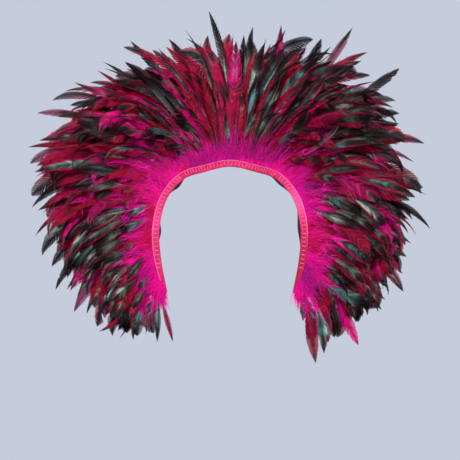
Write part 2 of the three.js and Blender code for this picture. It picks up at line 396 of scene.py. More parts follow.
def ribbonFinish():
    satin = Finish("pinkRibbon")
    run, wide, rim, paintedSheenAndDeep = (satin.mark(name) for name in ("run", "wide", "rim", "paintedSheenAndDeep"))
    rib = satin.node("ShaderNodeMath", {"operation": "SINE"}, {0: run * (2 * math.pi / ribbonCut["weave"])})
    fleck = satin.noise(satin.join(run * 0.9, wide * 0.25, 0), 1.0, 3)
    cloud = satin.noise(satin.join(run * 0.06, wide * 0.2, 3), 1.0, 2)
    # clouds and flecks make the satin's tone uneven; the stretches add painted sheen and a deeper red
    worn = cloud + fleck * 0.4 + paintedSheenAndDeep * 0.3
    ground = satin.mix(satin.ease(worn, 0.5, 0.85), ribbonCut["deep"], ribbonCut["ground"])
    # the folded rim is painted paler, a painted highlight, and so are the painted sheen stretches
    colour = satin.mix(satin.ease(rim + fleck * 0.3 + paintedSheenAndDeep - 0.15, 0.1, 1.1), ground, ribbonCut["pale"])
    return satin.cover({
        "Base Color": colour,
        "Roughness": 0.42 + fleck * 0.2,
        "Normal": satin.bump(rib * 0.5 + fleck, 0.35, 0.0005),
        "Specular IOR Level": 0.3,
    })


def threadFinish():
    thread = Finish("paleThread")
    twist = thread.noise(thread.objectPlace(), 2200, 2)
    colour = thread.mix(thread.ease(twist, 0.35, 0.65), ribbonCut["pale"], ribbonCut["thread"])
    return thread.cover({"Base Color": colour, "Roughness": 0.45})


def ribbonHeight(distance, run, width):  # the ribbon's face: flat, with short cross ridges and a folded rim
    rim = np.minimum(ribbonCut["rimWide"], width / 2)
    fold = np.sin(np.pi * np.clip((distance - width + rim) / rim, 0, 1)) ** ribbonCut["rimRound"]
    ridge = np.maximum(np.cos(2 * np.pi * run / ribbonCut["ridgePitch"]), 0) ** ribbonCut["ridgeSharp"]
    ease = ribbonCut["ridgeEase"]
    fromEdge, fromRim = distance - ribbonCut["ridgeInset"], width - rim - distance
    inside = np.clip(fromEdge / ease, 0, 1) * np.clip(fromRim / ease, 0, 1)
    high = ribbonCut["low"] + ribbonCut["thick"] + ribbonCut["rimHigh"] * fold
    return high + ribbonCut["ridgeHigh"] * ridge * inside, fold


def layStitches(start, stop):  # a ladder of pale stitches between the ridges
    k, run = evenPlaces(start, stop, ribbonCut["ridgePitch"])
    k, run = k[1:-1], run[1:-1]
    width = bandAt(k)["ribbon"]
    k, run, width = (v[width > ribbonCut["stitchedOver"]][:, None, None] for v in (k, run, width))
    span = np.array([0, 0.2, 0.8, 1])[None, :, None]
    distance = ribbonCut["stitchFrom"] + (ribbonCut["stitchTo"] - ribbonCut["stitchFrom"]) * span
    fat = np.array([0.3, 1, 1, 0.3])[None, :, None]
    offset = np.array([-1, 0, 1, 0])[None, None, :] * fat * ribbonCut["stitchWide"]
    lift = np.array([0, 1, 0, -0.4])[None, None, :] * fat * ribbonCut["stitchHigh"]
    slant = (span - 0.5) * ribbonCut["stitchSlant"]
    perPlace = (k[-1] - k[0]).item() / (run[-1] - run[0]).item()
    high, _ = ribbonHeight(distance, run, width)
    high = high + lift + ribbonCut["stitchOff"]
    points = bandPoint(k + (offset + slant) * perPlace, distance, high)
    index = np.arange(points[..., 0].size).reshape(points.shape[:3])
    turned = np.roll(index, -1, 2)
    sides = np.stack([index[:, :-1], turned[:, :-1], turned[:, 1:], index[:, 1:]], -1).reshape(-1, 4)
    return points.reshape(-1, 3), np.concatenate([sides, index[:, 0, ::-1], index[:, -1]])


def makeRibbon(side, start, stop, finishes):
    k, run = evenPlaces(start, stop, ribbonCut["step"])
    width = bandAt(k)["ribbon"][:, None]
    distance = np.linspace(0, 1, ribbonCut["columns"]) * width
    high, fold = ribbonHeight(distance, run[:, None], width)
    toEnd = np.minimum(run, run[-1] - run)[:, None]
    high = high + ribbonCut["endFold"] * np.sqrt(np.clip(1 - toEnd / ribbonCut["endFoldLong"], 0, 1))
    rings = bandStrip(k, distance, high, ribbonCut["low"])
    groups = closedStrip(rings)
    ringMarks = {
        "run": np.broadcast_to(run[:, None], rings.shape[:2]),
        "wide": np.concatenate([distance, distance[:, ::-1]], 1),
        "rim": np.concatenate([fold, 0 * fold], 1),
        "paintedSheenAndDeep": np.broadcast_to(bumpsAlong(k, ribbonCut["paintedSheenAndDeep"])[:, None], rings.shape[:2]),
    }
    points = rings.reshape(-1, 3)
    stitches, quads = layStitches(start, stop)
    groups.append(quads + len(points))
    marks = {key: np.append(values.ravel(), np.zeros(len(stitches))) for key, values in ringMarks.items()}
    worn = np.zeros(sum(len(group) for group in groups))
    worn[-len(quads):] = 1
    points = np.concatenate([points, stitches])
    piece = addPiece("pinkRibbon_" + side, points, groups, finishes, worn, marks)
    sew(piece, "ribbon_" + side)
    flat = (ribbonCut["flatWide"] * mm, run[-1] * mm)
    print("ribbon %s: %.3f m long" % (side, run[-1] * mm))


# feathers
# seat and tape are distances from the ribbon's inner edge, and nape and seam are where a row's lengths meet
# onNeck and onFront count the solid's feathers in a length, and coats are the fuller ones set round them

rows = {
    "front": {
        "seat": 16.5, "tape": (2, 19), "lift": 15, "share": 0.68,
        "nape": 0, "seam": 2, "onNeck": 7, "onFront": 14, "half": 11.5, "vaneFrom": (0.1, 0.3),
        "coats": [
            {"each": 2, "byNeck": 4, "lift": (-5, 1), "reach": (0.7, 1.06), "vaneFrom": (0.1, 0.38)},
            {"each": 2, "byNeck": 5, "lift": (-3, 3), "reach": (0.42, 0.78), "vaneFrom": (0.06, 0.34)},
        ],
        "strands": 42, "fluffy": 1, "fluffPast": 0.02, "fluffLong": (10, 40), "fluffLift": (-22, 12),
    },
    "middle": {
        "seat": 41.5, "tape": (30, 44), "lift": 10.5, "share": 0.85,
        "nape": 0.25, "seam": 1.75, "onNeck": 7, "onFront": 16, "half": 12.5, "vaneFrom": (0.1, 0.3),
        "coats": [
            {"each": 3, "byNeck": 5, "lift": (-5, 2), "reach": (0.56, 1.06), "vaneFrom": (0.1, 0.36)},
        ],
        "strands": 40, "fluffy": 0.6, "fluffPast": 0.03, "fluffLong": (10, 36), "fluffLift": (-10, 20),
    },
    "back": {
        "seat": 67.5, "tape": (56, 70), "lift": 3, "share": 1,
        "nape": -0.25, "seam": 2.25, "onNeck": 9, "onFront": 16, "half": 12.5, "vaneFrom": (0.08, 0.28),
        "coats": [
            {"each": 3, "byNeck": 5, "lift": (-2, 5), "reach": (0.62, 1.02), "vaneFrom": (0.08, 0.32)},
            {"each": 3, "byNeck": 6, "lift": (-3, 3), "reach": (0.82, 1.02), "vaneFrom": (0.04, 0.24)},
        ],
        "strands": 42, "fluffy": 0, "fluffPast": 0.03, "fluffLong": (10, 36), "fluffLift": (-14, 14),
    },
}
growth = {
    "endInset": 0.17, "tipCurl": 10, "turn": 3, "lift": 0.8, "reach": 0.09,  # as in the solids
    "firstSeed": 11, "ownSpare": 0.6, "showyLift": 3,
    "clumpStep": 0.3, "clumpTurn": 5, "clumpFoot": 0.06, "clumpDark": 0.2, "clumpKind": 0.55,
    "coatApart": 0.8, "coatInset": 0.02, "coatTurn": 10, "coatBend": (0.7, 1.4), "bendSpread": 18,
    "hookDown": 116, "hookFrom": 1.3, "hookSpread": 48, "hookFull": 200, "hookLeast": 0.3,
    "roll": 14, "twist": 14, "curl": (-8, 12), "broad": (0.75, 1.55), "camber": (0.12, 0.36),
    "point": (1.1, 2.1), "lens": (60, 120), "lensShare": (0.2, 0.62), "soft": (0.46, 0.72),
    "sickles": 0.4, "sickle": {"half": 0.55, "point": 0.8, "hook": 1.35, "lens": 1.5},
    "vaneStarts": (0.05, 0.55), "vaneEnds": 0.985, "pinkFoot": 0.24, "pinkMore": 0.3,
    "pinkPlaces": (0.6, 1.8), "pinkShare": (0.4, 1),  # less by the nape: painted shade, the vanes' feet darker behind the neck
    "dyeSpread": (0.1, 0.06, 0.1, 0),
    "barbs": 24, "across": (0, 0.36, 0.7, 1), "barbSlope": 1.8, "barbBend": 0.3, "closer": 1.5,
    "tight": 0.1, "loose": 0.6, "rag": 0.035, "torn": 0.03, "tornOff": 0.2,
    "parted": 0.08, "partSpread": 0.2, "partLean": (-0.35, 0.5), "partLeast": 0.4, "partHigh": 0.18,
    "front": -168, "frontSoft": 12, "pathSteps": 32, "quillSteps": 10, "quillWide": (0.9, 0.2),
    "tapeLow": 0.3, "tapeThick": 2.0, "tapeStep": 4, "tapeColumns": 5,
}
# one number for each slow change along the band, so that each has its own draws
clumpSeeds = {"turn": 71, "foot": 72, "dark": 73, "tint": 75, "tufts": 76, "kind": 80}
# how much further to the side than the solids' feathers the ones round them are combed
combing = {"places": (0, 0.7, 1.6, 2.6, 4, 5, 5.6, 6), "turn": (0, 9, 13, 4, -5, -22, -24, 0)}
# single feathers that stray past the others: place, turn, bend, reach, vane's start, breadth and kind
strays = {
    "front": [
        (-5.88, -196, 0, 122, 0.22, 0.5, "crimson"), (-5.7, -180, 4, 130, 0.25, 0.55, "black"),
        (5.65, 164, 41, 166, 0.3, 1.15, "green"), (5.8, 170, 8, 170, 0.2, 1.1, "crimson"),
        (5.88, 172, 14, 115, 0.55, 0.5, "black"),
    ],
    "back": [
        (-5.2, -152, 85, 215, 0.3, 0.7, "crimson"), (-4.9, -134, -45, 220, 0.3, 0.8, "mauve"),
        (-4.2, -129, -67, 259, 0.3, 0.7, "black"), (-3.9, -133, -92, 257, 0.3, 0.7, "black"),
        (-3.15, -100, -92, 304, 0.3, 0.9, "black"), (-3, -105, -46, 282, 0.3, 0.7, "black"),
        (-2.75, -76, -57, 321, 0.3, 0.7, "crimson"), (-2.6, -78, -41, 310, 0.3, 0.8, "crimson"),
        (-2.45, -65, -68, 345, 0.3, 0.8, "mauve"), (-2.3, -63, -52, 302, 0.3, 0.8, "crimson"),
        (-1.95, -60, -105, 364, 0.3, 0.8, "mauve"), (-1.9, -35, -68, 334, 0.3, 0.8, "black"),
        (-1.55, -47, -33, 304, 0.3, 0.8, "crimson"), (-1, -38, -95, 363, 0.3, 0.8, "crimson"),
        (-0.5, -15, -98, 335, 0.3, 0.7, "crimson"), (-0.12, -8, -28, 366, 0.3, 0.7, "black"),
        (0.35, 6, 14, 326, 0.3, 0.7, "black"), (0.55, 19, 22, 328, 0.3, 1.1, "black"),
        (0.6, 15, -18, 338, 0.3, 0.9, "rose"), (0.8, 29, 124, 386, 0.3, 1.3, "black"),
        (1, 29, -6, 326, 0.3, 1.2, "black"), (1.3, 53, 136, 390, 0.3, 1.3, "green"),
        (1.6, 30, 11, 380, 0.3, 1.1, "mauve"), (1.75, 49, 108, 358, 0.3, 0.9, "crimson"),
        (2.05, 62, 97, 338, 0.3, 0.9, "crimson"), (2.2, 47, 22, 356, 0.3, 1, "black"),
        (2.4, 71, 134, 325, 0.3, 0.8, "black"), (2.5, 76, 100, 300, 0.3, 0.8, "crimson"),
        (2.65, 85, 91, 295, 0.3, 0.8, "rose"), (3.4, 106, 80, 300, 0.5, 0.6, "black"),
        (4.2, 130, 38, 252, 0.3, 0.7, "crimson"), (4.5, 124, 66, 245, 0.3, 0.9, "mauve"),
        (4.9, 139, 70, 214, 0.3, 0.7, "crimson"), (5.1, 160, -17, 232, 0.3, 1, "pink"),
    ],
}
# showy ones that lie on top of the others, the same way
showy = {
    "front": [
        (-2.75, -79, -41, 218, 0.36, 1.25, "black"), (-3, -85, -35, 208, 0.4, 1.38, "black"),
        (-3.3, -111, -30, 178, 0.4, 1, "green"), (-3.45, -117, -30, 190, 0.4, 1.06, "green"),
        (-3.8, -115, -35, 152, 0.36, 1, "green"), (-3.65, -114, 1, 92, 0.06, 1, "black"),
        (-3.25, -108, 4, 94, 0.1, 1, "black"), (-4.25, -110, -49, 138, 0.36, 1.12, "green"),
        (-4.6, -143, -12, 98, 0.2, 0.88, "green"), (-4.9, -100, -64, 155, 0.4, 1.12, "black"),
        (-5.25, -132, 25, 71, 0.06, 1, "black"), (-5.1, -131, -2, 128, 0.3, 1.12, "green"),
        (3.4, 108, 1, 138, 0.08, 1, "black"), (2.9, 112, 54, 164, 0.36, 1.12, "black"),
        (4.25, 115, 55, 158, 0.3, 1.44, "green"), (4.75, 119, 51, 148, 0.36, 1.12, "green"),
        (5.4, 116, -4, 171, 0.26, 1.25, "black"), (2.55, 78, 37, 168, 0.3, 1.12, "green"),
        (1.45, 35, 1, 164, 0.3, 1.56, "black"), (1.9, 53, -18, 184, 0.4, 0.75, "mauve"),
        (2.2, 71, 60, 228, 0.4, 0.88, "green"),
    ],
    "middle": [
        (-1.6, -41, -1, 189, 0.3, 1.38, "green"), (-2.2, -62, -10, 253, 0.36, 1.25, "green"),
        (3.1, 116, 75, 222, 0.4, 1, "green"), (3.7, 114, 71, 202, 0.4, 0.88, "green"),
        (2.6, 99, 32, 286, 0.4, 1, "green"), (1.2, 38, 8, 248, 0.36, 1.12, "green"),
        (0.9, 28, 4, 242, 0.36, 1, "green"), (1.9, 67, 73, 283, 0.4, 1, "green"),
    ],
}
strayColumns = ["k", "turn", "bend", "reach", "vaneFrom", "broad"]
# how a kind of feather is dyed: dark middle, width of its coloured edge, pinkness, greyness
dyeColumns = ["dark", "edge", "pink", "grey"]
kinds = {
    "green": (0.98, 0.82, 0.12, 0),
    "black": (1.25, 0.6, 0.1, 0),
    "crimson": (0.34, 0.22, 0.08, 0),
    "rose": (0.4, 0.3, 0.85, 0),
    "mauve": (0.42, 0.3, 0.4, 0.8),
    "pink": (-0.3, 0.2, 0.95, 0),
}
# how common each kind is, from the nape to the lower ends
kindPlaces = [0, 1.5, 2.8, 3.6, 4.4, 5.3, 6]
kindShares = {
    "green": [0.22, 0.34, 0.24, 0.3, 0.5, 0.46, 0.32],
    "black": [0.18, 0.1, 0.11, 0.13, 0.12, 0.16, 0.24],
    "crimson": [0.5, 0.5, 0.5, 0.46, 0.42, 0.4, 0.36],
    "rose": [0.12, 0.18, 0.2, 0.17, 0.12, 0.11, 0.12],
    "mauve": [0.01, 0.008, 0.01, 0.008, 0.008, 0.008, 0.01],
    "pink": [0.004, 0.006, 0.01, 0.01, 0.006, 0.006, 0.01],
}
# patches where a kind is more common, or less: place, width and how much
dyePatches = {
    "green": [
        (-1, 0.4, 0.6), (-2.2, 0.8, -0.5), (-3.2, 0.35, -1.4), (-4.2, 0.5, 1),
        (0.85, 0.35, 0.6), (2.8, 0.35, -0.6), (3.8, 0.5, 0.9),
    ],
    "black": [
        (-1, 0.45, 2), (-2.2, 0.8, -0.7), (-3.2, 0.35, -1.4), (-4.3, 0.5, 0.8),
        (0.85, 0.35, 1.8), (2.8, 0.35, -0.6), (4, 0.5, 0.8), (5.3, 0.3, 0.8),
    ],
    "crimson": [
        (-1, 0.4, -0.4), (-2, 0.9, 0.4), (-3.2, 0.45, 0.9), (-4.9, 0.4, 0.5),
        (0.85, 0.35, -0.5), (2.7, 0.5, 0.9), (1.8, 0.7, 0.2), (4.7, 0.35, 0.7),
    ],
    "rose": [
        (-1.5, 0.6, 1.2), (-2.3, 0.4, 0.9), (-3.1, 0.4, 0.8), (1.8, 0.7, -0.5),
        (2.9, 0.3, 0.8),
    ],
}
# stretches where feathers are dyed darker or paler, and where they bend over more: place, width, how much
darker = [(-2.2, 0.7, -0.1), (-4.0, 0.6, 0.06)]
bentOver = [(-1.1, 0.6, -45)]
vaneDye = {
    "crimson": dye(152, 0, 40), "deepRed": dye(76, 0, 20), "deepRose": dye(112, 0, 50),
    "rose": dye(214, 0, 124), "magenta": dye(232, 0, 150), "mauve": dye(98, 62, 86),
    # olive and teal are painted sheen, a painted highlight on the dark vanes
    "green": dye(39, 34, 35), "paintedOliveSheen": dye(96, 108, 99), "paintedTealSheen": dye(84, 126, 122),
    "black": dye(19, 10, 14), "through": dye(180, 0, 60),
}
fluffDye = {
    "magenta": dye(248, 0, 172), "purple": dye(166, 0, 140), "crimson": dye(186, 0, 60),
    "through": dye(255, 0, 176),
}
quillDye = {"pale": dye(168, 40, 78), "dark": dye(40, 6, 16)}
tapeDye = {"low": dye(24, 18, 24), "high": dye(60, 44, 56)}


def vaneFinish():
    vane = Finish("featherVane")
    along, across, seed = vane.mark("along"), vane.mark("across"), vane.mark("seed")
    dark, edge, pink, grey = (vane.mark(name) for name in dyeColumns)
    barb = vane.noise(vane.join(along * 26, across * 1.0, seed * 91), 1.0, 4)
    patch = vane.noise(vane.join(along * 5, across * 0.8, seed * 53), 1.0, 1)
    streak = vane.ease(barb * 1.5 + patch * 0.4 + seed * 0.2, 0.8, 1.26)
    deep = vane.mix(pink, vaneDye["deepRed"], vaneDye["deepRose"])
    ground = vane.mix(streak, deep, vane.mix(pink, vaneDye["crimson"], vaneDye["rose"]))
    ground = vane.mix(grey, ground, vaneDye["mauve"])
    pinkFoot = vane.ease(vane.mark("foot") - along + patch * 0.2, 0.02, 0.26)
    ground = vane.mix(pinkFoot, ground, vaneDye["magenta"])
    tip = vane.ease(along, 0.72, 1.0)
    foot = vane.ease(along, 0.26, 0.66)
    depth = dark - edge * across**2 + tip * 0.42 - (1 - foot) * 0.68
    inDark = vane.ease(depth + (barb - 0.5) * 0.5 + (patch - 0.5) * 0.3, 0.34, 0.62)
    # painted sheen: paler olive or teal patches along a dark vane's middle, fading before the tip
    paintedSheen = vane.ease(patch + barb * 0.6 - across * 0.25 - tip * 0.5, 0.58, 1.02)
    darkWithPaintedSheen = vane.mix(vane.ease(seed, 0.55, 0.8), vaneDye["paintedOliveSheen"], vaneDye["paintedTealSheen"])
    darkWithPaintedSheen = vane.mix(paintedSheen, vaneDye["green"], darkWithPaintedSheen)
    darkWithPaintedSheen = vane.mix(vane.ease(along + (dark - 0.9) * 0.5, 0.76, 1.0), darkWithPaintedSheen, vaneDye["black"])
    sockets = {
        "Base Color": vane.mix(inDark, ground, darkWithPaintedSheen),
        "Roughness": 0.55 - inDark * 0.22 + (barb - 0.5) * 0.16,
        "Metallic": inDark * 0.6,
        "Specular IOR Level": 0.08,
    }
    return vane.cover(sockets, vaneDye["through"], 0.12 - inDark * 0.12)


def fluffFinish():
    fluff = Finish("featherFluff")
    tone, along = fluff.mark("seed"), fluff.mark("along")
    colour = fluff.mix(fluff.ease(tone, 0.16, 0.5), fluffDye["purple"], fluffDye["magenta"])
    colour = fluff.mix(fluff.ease(tone + along * 0.12, 0.64, 0.88), colour, fluffDye["crimson"])
    sockets = {"Base Color": colour, "Roughness": 0.7, "Sheen Weight": 0.2, "Specular IOR Level": 0.12}
    return fluff.cover(sockets, fluffDye["through"], 0.4)


def quillFinish():
    quill = Finish("featherQuill")
    colour = quill.mix(quill.ease(quill.mark("along"), 0.1, 0.6), quillDye["pale"], quillDye["dark"])
    return quill.cover({"Base Color": colour, "Roughness": 0.4})


def tapeFinish():
    tape = Finish("headerTape")
    weave = tape.noise(tape.objectPlace(), 1800, 2)
    colour = tape.mix(weave, tapeDye["low"], tapeDye["high"])
    return tape.cover({"Base Color": colour, "Roughness": 0.85, "Normal": tape.bump(weave, 0.4, 0.0004)})


def scatter(n, salt):  # a fixed scatter from -1 to 1, the same as in the solids
    wave = np.sin(n * 12.9898 + salt * 78.233) * 43758.5453
    return 2 * (wave - np.floor(wave)) - 1


def clumps(k, salt):  # slow changes along the band, the same for feathers that lie together
    knots = np.arange(-bandEnd, bandEnd + growth["clumpStep"], growth["clumpStep"])
    return np.interp(k, knots, np.random.default_rng(salt).normal(0, 1, len(knots)))


def spacedPlaces(start, stop, count):  # even half way out to the tips, because feathers fan apart
    fine = np.linspace(start, stop, 201)
    row = bandAt(fine)
    halfway = middleOf(row) + pointing(row["turn"], 0) * row["reach"][:, None] / 2
    run = np.append(0, np.cumsum(np.linalg.norm(np.diff(halfway, axis=0), axis=1)))
    return np.interp(np.linspace(0, run[-1], count), run, fine)


def ownFeathers(row, k, rng):  # the feathers that the solid has too
    band = bandAt(k)
    number = np.floor(k * 100 + 0.5) + row["seat"]
    inner = np.ones(len(k))
    inner[[0, -1]] = 0
    return {
        "k": k,
        "turn": band["turn"] + inner * growth["turn"] * scatter(number, 1),
        "bend": band["droop"],
        "lift": row["lift"] + growth["lift"] * scatter(number, 2),
        "reach": band["reach"] * row["share"] * (1 + growth["reach"] * scatter(number, 3)),
        "vaneFrom": rng.uniform(*row["vaneFrom"], len(k)),
        "broad": rng.uniform(*growth["broad"], len(k)),
        "spare": np.full(len(k), growth["ownSpare"]),  # how far it may hook, roll and twist
    }


def coatFeathers(row, coat, k, start, stop, rng):  # fuller ones set round them
    each = coat["byNeck" if max(abs(start), abs(stop)) < bandEnd else "each"]
    many = len(k) * each
    step = (stop - start) / len(k)
    apart, inset = growth["coatApart"], growth["coatInset"]
    place = np.repeat(k, each) + rng.uniform(-apart, apart, many) * step
    place = np.clip(place, start + inset, stop - inset)
    band = bandAt(place)
    bend = band["droop"] * rng.uniform(*growth["coatBend"], many) + bumpsAlong(place, bentOver)
    combed = np.sign(place) * np.interp(np.abs(place), combing["places"], combing["turn"])
    turn = band["turn"] + combed + growth["clumpTurn"] * clumps(place, clumpSeeds["turn"])
    return {
        "k": place,
        "turn": turn + rng.normal(0, growth["coatTurn"], many),
        "bend": bend + rng.normal(0, growth["bendSpread"], many),
        "lift": row["lift"] + rng.uniform(*coat["lift"], many),
        "reach": band["reach"] * row["share"] * rng.uniform(*coat["reach"], many),
        "vaneFrom": rng.uniform(*coat["vaneFrom"], many),
        "broad": rng.uniform(*growth["broad"], many),
        "spare": np.ones(many),
    }


def strayFeathers(row, own, lift):
    loose = {key: np.array([s[i] for s in own], float) for i, key in enumerate(strayColumns)}
    loose["lift"] = np.full(len(own), row["lift"] + lift, float)
    loose["spare"] = np.zeros(len(own))
    return loose


def drawKinds(k, seat, rng):  # like feathers lie in patches
    shares = []
    for i, name in enumerate(kinds):
        common = np.interp(np.abs(k), kindPlaces, kindShares[name])
        more = growth["clumpKind"] * clumps(k, clumpSeeds["kind"] + round(seat) + i)
        more = more + bumpsAlong(k, dyePatches.get(name, []))
        shares.append(common * np.exp(more))
    shares = np.cumsum(np.stack(shares, 1), 1)
    return (rng.random(len(shares))[:, None] > shares / shares[:, -1:]).sum(1)


def growLength(rowName, start, stop, count, rng):
    def here(group):
        return [feather for feather in group.get(rowName, []) if start < feather[0] < stop]
    row = rows[rowName]
    k = spacedPlaces(start + growth["endInset"], stop - growth["endInset"], count)
    onTop, out = here(showy), here(strays)
    groups = [ownFeathers(row, k, rng)]
    groups += [coatFeathers(row, coat, k, start, stop, rng) for coat in row["coats"]]
    groups += [strayFeathers(row, onTop, growth["showyLift"]), strayFeathers(row, out, 0)]
    plume = {key: np.concatenate([group[key] for group in groups]) for key in groups[0]}
    k, spare = plume["k"], plume["spare"]
    total = len(k)
    down = np.sign(k) * np.minimum(np.abs(k) / growth["hookFrom"], 1)
    hook = down * growth["hookDown"] * rng.random(total) + rng.normal(0, growth["hookSpread"], total)
    plume["length"] = plume["reach"] - (row["seat"] - middleLine)
    plume["hook"] = spare * hook * np.clip(plume["length"] / growth["hookFull"], growth["hookLeast"], 1)
    plume["curl"] = growth["tipCurl"] + spare * rng.uniform(*growth["curl"], total)
    for key in ("roll", "twist"):
        plume[key] = spare * rng.normal(0, growth[key], total)
    plume["half"] = row["half"] * plume["broad"]
    for key in ("point", "lens"):
        plume[key] = rng.uniform(*growth[key], total)
    sickle = (rng.random(total) < growth["sickles"]) & (spare > 0)  # narrow ones, more bent
    for key, times in growth["sickle"].items():
        plume[key][sickle] *= times
    plume["camber"] = rng.uniform(*growth["camber"], total)
    foot = plume["vaneFrom"] * fluffWide(k) ** row["fluffy"]
    foot = foot + growth["clumpFoot"] * clumps(k, clumpSeeds["foot"])
    plume["vaneFrom"] = np.where(spare == 0, plume["vaneFrom"], np.clip(foot, *growth["vaneStarts"]))
    vaneLong = plume["length"] * (1 - plume["vaneFrom"])
    plume["widest"] = 1 - np.clip(plume["lens"] / vaneLong, *growth["lensShare"])
    plume["soft"] = rng.uniform(*growth["soft"], total)
    plume["seed"] = rng.random(total)
    # less pink at the vanes' feet by the nape, painted shade behind the neck
    pinkShare = np.interp(np.abs(k), growth["pinkPlaces"], growth["pinkShare"])
    plume["foot"] = (growth["pinkFoot"] + growth["pinkMore"] * plume["seed"]) * pinkShare
    drawn = drawKinds(k, row["seat"], rng)
    for i, feather in enumerate(reversed(onTop + out)):
        drawn[total - 1 - i] = list(kinds).index(feather[-1])
    dyes = np.array(list(kinds.values()))[drawn]
    dyes = dyes + rng.normal(0, growth["dyeSpread"], dyes.shape)
    dyes[:, 0] += spare * growth["clumpDark"] * clumps(k, clumpSeeds["dark"]) + bumpsAlong(k, darker)
    for i, key in enumerate(dyeColumns):
        plume[key] = np.maximum(dyes[:, i], 0)
    return plume


def headings(plume, u):  # the way each feather points at shares u of its length
    face = bandFace(plume["k"])[:, None, :]
    column = {key: plume[key][:, None] for key in ("turn", "bend", "hook", "lift", "curl")}
    angle = column["turn"] + column["bend"] * (u - 0.5) + column["hook"] * np.maximum(u - 0.5, 0) ** 2 * 2
    way = pointing(angle, 0)
    flat = -(way[..., 0] * face[..., 0] + way[..., 2] * face[..., 2]) / face[..., 1]
    rise = np.tan(np.radians(column["lift"] - column["curl"] * u**2)) / face[..., 1]
    way[..., 1] = flat + np.sqrt(1 + flat**2) * rise
    way = unit(way)
    side = unit(np.cross(way, face))
    return way, side, np.cross(side, way)


def quillPaths(rowName, plume):
    steps = growth["pathSteps"]
    way, _, _ = headings(plume, (np.arange(steps) + 0.5) / steps)
    root = bandPoint(plume["k"], rows[rowName]["seat"], growth["tapeLow"] + growth["tapeThick"] / 2)
    stride = way * (plume["length"] / steps)[:, None, None]
    quill = np.concatenate([root[:, None], root[:, None] + np.cumsum(stride, 1)], 1)
    soft = growth["frontSoft"]
    past = np.maximum(growth["front"] - quill[..., 1], 0)  # none stands far out in front
    quill[..., 1] += past - soft * (1 - np.exp(-past / soft))
    u = np.arange(steps + 1) / steps
    way, side, up = headings(plume, u)
    roll = plume["roll"][:, None] * np.minimum(u * 4, 1) + plume["twist"][:, None] * (u - 0.5)
    roll = np.radians(roll)[..., None]
    return {
        "quill": quill,
        "way": way,
        "side": side * np.cos(roll) + up * np.sin(roll),
        "up": up * np.cos(roll) - side * np.sin(roll),
    }


def sampleAlong(table, u):
    place = np.clip(u, 0, 1) * growth["pathSteps"]
    whole = np.minimum(place.astype(int), growth["pathSteps"] - 1)
    part = (place - whole)[..., None]
    which = np.arange(len(table)).reshape((-1,) + (1,) * (u.ndim - 1))
    return table[which, whole] * (1 - part) + table[which, whole + 1] * part


# each part's lower and upper edge on the bake map and the length of its cells, in the order of the finishes
bakeRegions = {"vane": (0, 0.6, 2.4), "quill": (0.94, 0.985, 12), "fluff": (0.61, 0.93, 7), "tape": (0.986, 1, 1)}
cellInset = (0.04, 0.05)


def bakeCells(part, u, v):  # a cell of the bake map for each feather, quill or strand
    low, high, long = bakeRegions[part]
    besides, under = cellInset
    columns = max(1, round(math.sqrt(len(u) / (high - low) / long)))
    lines = math.ceil(len(u) / columns)
    which = np.arange(len(u)).reshape((-1,) + (1,) * (u.ndim - 1))
    across = (which % columns + besides + (1 - 2 * besides) * u) / columns
    up = (which // columns + under + (1 - 2 * under) * v) / lines
    return np.stack([across, low + (high - low) * up], -1).reshape(-1, 2)


def markPoints(shape, values):  # every part of a joined mesh has the same marks
    marks = {}
    for key in ("seed", "foot", *dyeColumns, "along", "across"):
        value = np.asarray(values.get(key, 0.0), float)
        if value.ndim == 1:  # one for each feather or strand
            value = value.reshape((-1,) + (1,) * (len(shape) - 1))
        marks[key] = np.broadcast_to(value, shape).ravel()
    return marks


class Stock:  # gathers the parts of one joined mesh
    def __init__(self):
        self.points, self.faces, self.worn, self.maps, self.marks = [], [], [], [], []
        self.count = 0

    def lay(self, part, points, faceGroups, cellU, cellV, **marks):
        shape = points.shape[:-1]
        for group in faceGroups:
            self.faces.append(group.reshape(-1, group.shape[-1]) + self.count)
            self.worn.append(np.full(len(self.faces[-1]), list(bakeRegions).index(part)))
        self.points.append(points.reshape(-1, 3))
        self.maps.append(bakeCells(part, *(np.broadcast_to(cell, shape) for cell in (cellU, cellV))))
        self.marks.append(markPoints(shape, marks))
        self.count += math.prod(shape)

    def piece(self, name, finishes):
        marks = {key: np.concatenate([part[key] for part in self.marks]) for key in self.marks[0]}
        points, worn, maps = (np.concatenate(parts) for parts in (self.points, self.worn, self.maps))
        return addPiece(name, points, self.faces, finishes, worn, marks, maps)


def vaneHalf(t, widest, soft, point):  # half a vane's width from foot to tip, as a share of the widest
    rise = np.minimum(t / widest, 1)
    rise = soft * np.minimum(0.5 + 4 * t, 1) + (1 - soft) * rise**2 * (3 - 2 * rise)
    return rise * (1 - np.maximum((t - widest) / (1 - widest), 0) ** point)


